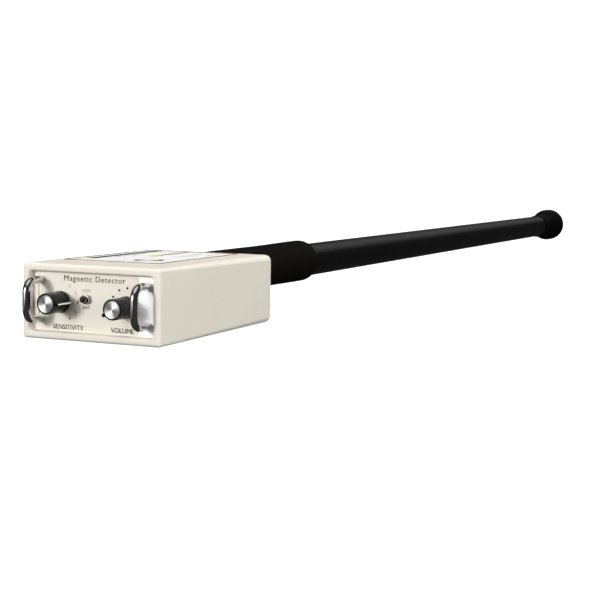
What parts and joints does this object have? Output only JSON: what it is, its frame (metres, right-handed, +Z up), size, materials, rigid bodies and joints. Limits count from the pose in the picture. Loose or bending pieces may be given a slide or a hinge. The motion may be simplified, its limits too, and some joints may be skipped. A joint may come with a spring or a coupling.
{
  "type": "magnetic locator",
  "caption": "Handheld magnetic locator wand: boxed control head with two dials, a lamp and guard handles, a gripped sensor tube and a rubber tip.",
  "frame": {"origin": "middle of the object's footprint, on the plane of the housing's underside", "axes": "+Y runs from the control panel along the tube to the tip, +Z up through the housing's labelled top, +X to the right as the user faces the panel"},
  "size_m": [0.093, 1.1176, 0.049],
  "materials": {
    "cream_paint": "satin, fine orange peel",
    "overlay_film": "printed satin film",
    "label_film": "printed satin film",
    "chrome": "polished",
    "spun_aluminium": "spun, fine concentric lines",
    "knob_plastic": "semi-gloss",
    "plated_steel": "plated",
    "lamp_red": "tinted, polished",
    "black_tube": "satin",
    "grip_rubber": "matte, fine pores",
    "tip_rubber": "matte",
    "board_green": "solder mask",
    "black_plastic": "moulded",
    "battery_case": "satin metal jacket",
    "copper_winding": "enamelled wire",
    "paper_cone": "matte",
    "cable_jacket": "satin"
  },
  "bodies": {
    "housing": {"housing_shell": "cream_paint", "front_panel": "cream_paint", "panel_overlay": "overlay_film", "top_label": "label_film", "handle_left": "chrome", "handle_right": "chrome", "lamp_bezel": "chrome", "handle_left_lower_nut": "plated_steel", "handle_left_upper_nut": "plated_steel", "handle_right_lower_nut": "plated_steel", "handle_right_upper_nut": "plated_steel", "sensitivity_bush_nut": "plated_steel", "volume_bush_nut": "plated_steel", "door_hinge_pin": "plated_steel", "board_standoff_1": "plated_steel", "board_standoff_2": "plated_steel", "board_standoff_3": "plated_steel", "board_standoff_4": "plated_steel", "speaker_frame": "plated_steel", "saddle_screw_left": "plated_steel", "saddle_screw_right": "plated_steel", "tube_lock_screw": "plated_steel", "rear_sensor_core": "plated_steel", "front_sensor_core": "plated_steel", "lamp_lens": "lamp_red", "locator_tube": "black_tube", "grip_sleeve": "grip_rubber", "tip_cap": "tip_rubber", "circuit_board": "board_green", "rotary_switch": "black_plastic", "volume_control": "black_plastic", "battery_holder": "black_plastic", "battery_snap_lower": "black_plastic", "battery_snap_upper": "black_plastic", "board_amplifier_chip": "black_plastic", "board_cable_socket": "black_plastic", "tube_saddle": "black_plastic", "rear_sensor_bobbin": "black_plastic", "front_sensor_bobbin": "black_plastic", "battery_lower": "battery_case", "battery_upper": "battery_case", "board_transformer": "copper_winding", "rear_sensor_coil": "copper_winding", "front_sensor_coil": "copper_winding", "speaker_cone": "paper_cone", "sensor_cable": "cable_jacket"},
    "sensitivity_dial": {"sensitivity_knob": "knob_plastic", "sensitivity_inlay": "spun_aluminium", "sensitivity_set_screw": "plated_steel", "sensitivity_shaft": "plated_steel"},
    "volume_dial": {"volume_knob": "knob_plastic", "volume_inlay": "spun_aluminium", "volume_set_screw": "plated_steel", "volume_shaft": "plated_steel"},
    "battery_hatch": {"battery_door": "cream_paint", "door_screw": "plated_steel"}
  },
  "joints": [
    {"name": "sensitivity_turn", "type": "hinge", "parent": "housing", "child": "sensitivity_dial", "pos_m": [-0.0218, -0.54241, 0.0222], "axis": [0, -1, 0], "range_deg": [-60, 90]},
    {"name": "volume_turn", "type": "hinge", "parent": "housing", "child": "volume_dial", "pos_m": [0.0226, -0.54241, 0.0214], "axis": [0, -1, 0], "range_deg": [-270, 30]},
    {"name": "battery_door_hinge", "type": "hinge", "parent": "housing", "child": "battery_hatch", "pos_m": [-0.04415, -0.44921, 0.022], "axis": [0, 0, -1], "range_deg": [0, 95]}
  ]
}
